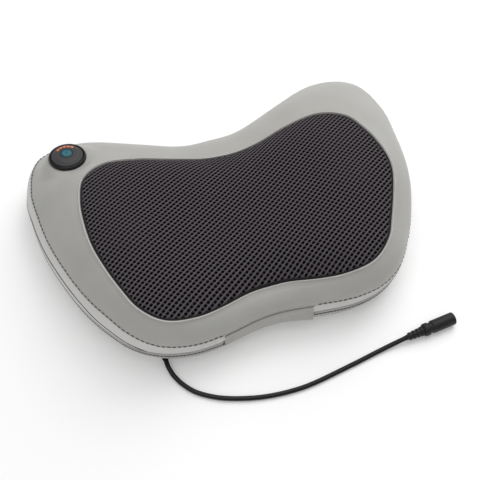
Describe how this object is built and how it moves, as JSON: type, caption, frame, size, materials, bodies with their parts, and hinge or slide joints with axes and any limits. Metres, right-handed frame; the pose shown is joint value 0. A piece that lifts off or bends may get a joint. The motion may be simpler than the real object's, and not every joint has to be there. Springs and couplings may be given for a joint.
{
  "type": "shiatsu neck massager",
  "caption": "Padded bow-tie massage pillow with an open-mesh window over two geared carriers of kneading heads, a power button and a short low-voltage cord.",
  "frame": {"origin": "on the floor, under the middle of the pillow, measured without the cord", "axes": "+X along the pillow to its right-hand lobe, +Y to the edge with the deep neck hollow, +Z out of the massaging face"},
  "size_m": [0.3306, 0.2702, 0.0794],
  "materials": {
    "grey_pu": "fine-grained grey artificial leather, satin",
    "black_mesh": "open black air mesh",
    "black_lining": "thin black stretch lining",
    "grey_fabric": "woven grey polyester",
    "black_webbing": "black elastic webbing and zip tape",
    "foam": "open-cell foam",
    "abs_plastic": "textured black moulding",
    "button_ring": "satin black moulding",
    "button_grey": "soft-touch dark grey",
    "gear_plastic": "natural acetal",
    "steel": "turned steel",
    "brass": "machined brass",
    "head_plastic": "smooth dark heads",
    "blue_lens": "translucent blue-green lens",
    "pcb_green": "solder mask",
    "black_rubber": "satin black cord jacket"
  },
  "bodies": {
    "pillow": {"front_cover": "grey_pu", "bottom_flap": "grey_pu", "mesh_panel": "black_mesh", "inner_lining": "black_lining", "back_cover": "grey_fabric", "side_gusset": "grey_fabric", "back_strap": "black_webbing", "zip_chain": "black_webbing", "foam_surround": "foam", "rear_shell": "abs_plastic", "front_shell": "abs_plastic", "gearcase_left": "abs_plastic", "gearcase_right": "abs_plastic", "gearcase_lid_left": "abs_plastic", "gearcase_lid_right": "abs_plastic", "motor_end_cap": "abs_plastic", "motor_cradle": "abs_plastic", "worm_bracket": "abs_plastic", "tact_switch": "abs_plastic", "button_base": "button_ring", "reduction_axle_left": "steel", "reduction_axle_right": "steel", "case_screw_left_1": "steel", "case_screw_left_2": "steel", "case_screw_right_1": "steel", "case_screw_right_2": "steel", "motor_can": "steel", "button_spring": "steel", "socket_pin": "steel", "zip_slider": "steel", "worm_bush": "brass", "control_pcb": "pcb_green", "cord_gland": "black_rubber", "inner_lead": "black_rubber", "cord": "black_rubber", "socket_strain_relief": "black_rubber", "socket_body": "black_rubber"},
    "carrier_left": {"carrier_left": "abs_plastic", "output_shaft_left": "steel", "output_gear_left": "gear_plastic", "carrier_nut_left": "steel", "head_pin_left_inner": "steel", "head_pin_left_outer": "steel"},
    "carrier_right": {"carrier_right": "abs_plastic", "output_shaft_right": "steel", "output_gear_right": "gear_plastic", "carrier_nut_right": "steel", "head_pin_right_inner": "steel", "head_pin_right_outer": "steel"},
    "head_left_inner": {"massage_head_left_inner": "head_plastic"},
    "head_left_outer": {"massage_head_left_outer": "head_plastic"},
    "head_right_inner": {"massage_head_right_inner": "head_plastic"},
    "head_right_outer": {"massage_head_right_outer": "head_plastic"},
    "reduction_left": {"reduction_gear_left": "gear_plastic"},
    "reduction_right": {"reduction_gear_right": "gear_plastic"},
    "drive_worm": {"worm": "brass", "motor_shaft": "steel"},
    "button": {"button_cap": "button_grey", "button_lens": "blue_lens"},
    "zip_pull": {"zip_pull": "steel"}
  },
  "joints": [
    {"name": "carrier_left_spin", "type": "hinge", "parent": "pillow", "child": "carrier_left", "pos_m": [-0.05895, -0.02, 0.03211], "axis": [0.225, 0, 0.9744], "continuous": true},
    {"name": "carrier_right_spin", "type": "hinge", "parent": "pillow", "child": "carrier_right", "pos_m": [0.05895, -0.02, 0.03211], "axis": [-0.225, 0, 0.9744], "continuous": true},
    {"name": "reduction_left_spin", "type": "hinge", "parent": "pillow", "child": "reduction_left", "pos_m": [-0.02241, -0.02, 0.02367], "axis": [0.225, 0, 0.9744], "continuous": true},
    {"name": "reduction_right_spin", "type": "hinge", "parent": "pillow", "child": "reduction_right", "pos_m": [0.02241, -0.02, 0.02367], "axis": [-0.225, 0, 0.9744], "continuous": true},
    {"name": "worm_spin", "type": "hinge", "parent": "pillow", "child": "drive_worm", "pos_m": [0, -0.02, 0.0185], "axis": [0, 1, 0], "continuous": true},
    {"name": "head_left_inner_spin", "type": "hinge", "parent": "carrier_left", "child": "head_left_inner", "pos_m": [-0.0229, -0.02, 0.02379], "axis": [0.225, 0, 0.9744], "continuous": true},
    {"name": "head_left_outer_spin", "type": "hinge", "parent": "carrier_left", "child": "head_left_outer", "pos_m": [-0.095, -0.02, 0.04043], "axis": [0.225, 0, 0.9744], "continuous": true},
    {"name": "head_right_inner_spin", "type": "hinge", "parent": "carrier_right", "child": "head_right_inner", "pos_m": [0.0229, -0.02, 0.02379], "axis": [-0.225, 0, 0.9744], "continuous": true},
    {"name": "head_right_outer_spin", "type": "hinge", "parent": "carrier_right", "child": "head_right_outer", "pos_m": [0.095, -0.02, 0.04043], "axis": [-0.225, 0, 0.9744], "continuous": true},
    {"name": "button_press", "type": "slide", "parent": "pillow", "child": "button", "axis": [-0.0512, -0.1904, -0.9804], "range_m": [0, 0.0015], "stiffness_N_per_m": 600},
    {"name": "zip_pull_swing", "type": "hinge", "parent": "pillow", "child": "zip_pull", "pos_m": [0, 0.08388, 0.0153], "axis": [1, 0, 0], "range_deg": [0, 110]}
  ],
  "couplings": [
    {"joint": "carrier_right_spin", "follows": "carrier_left_spin", "ratio": -1},
    {"joint": "reduction_left_spin", "follows": "carrier_left_spin", "ratio": -4},
    {"joint": "reduction_right_spin", "follows": "carrier_left_spin", "ratio": 4},
    {"joint": "worm_spin", "follows": "carrier_left_spin", "ratio": -88}
  ]
}
